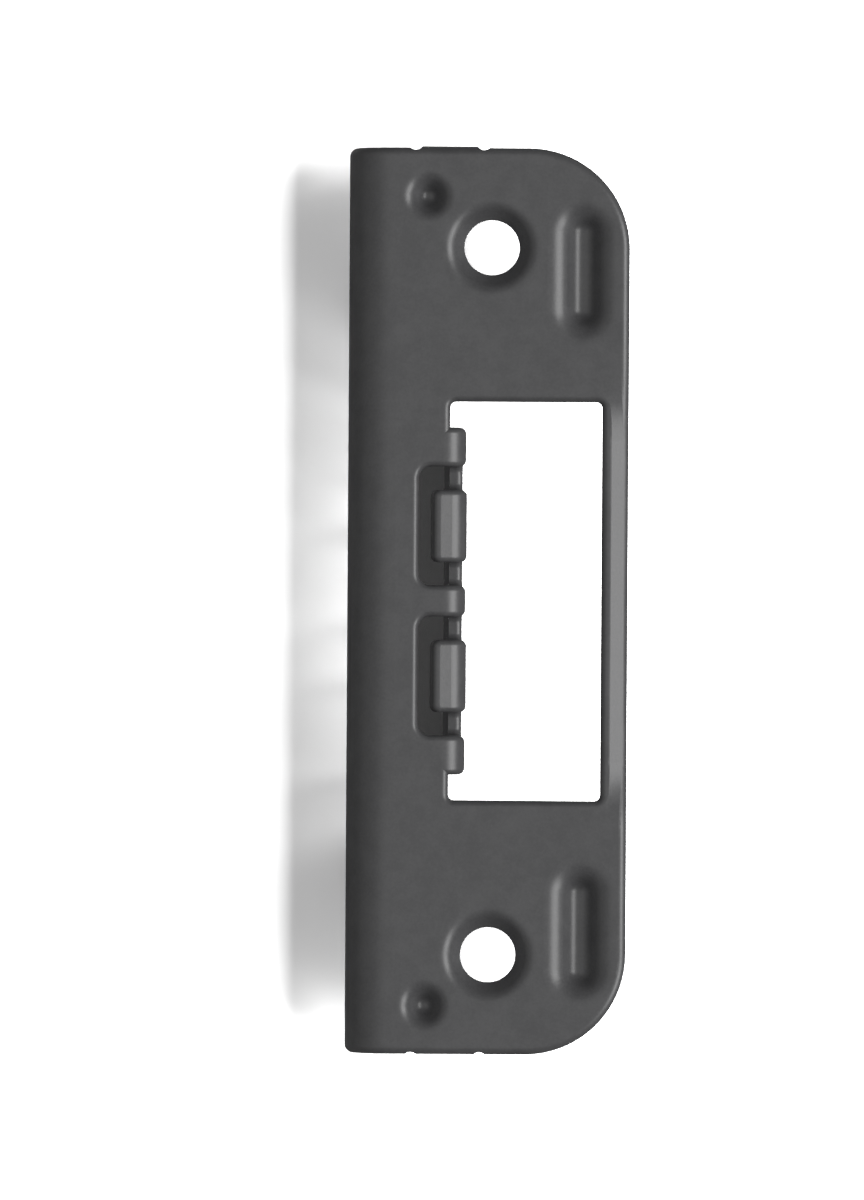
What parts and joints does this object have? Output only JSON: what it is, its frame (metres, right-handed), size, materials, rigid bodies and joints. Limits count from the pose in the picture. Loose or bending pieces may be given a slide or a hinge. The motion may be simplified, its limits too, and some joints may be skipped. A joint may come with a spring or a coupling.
{
  "type": "strike plate",
  "caption": "Angled door strike plate: an opening for latch and bolt, a lip folded along one edge, and an inner flange with adjusting tongues.",
  "frame": {"origin": "midway between the two screw holes, on the back of the sheet", "axes": "+X across the plate from the folded lip to the free edge, +Y along the plate, +Z out of the visible face"},
  "size_m": [0.0306, 0.0991, 0.0122],
  "materials": {
    "painted_steel": "satin dark grey coating"
  },
  "bodies": {
    "root": {"strike_plate": "painted_steel"}
  },
  "joints": []
}
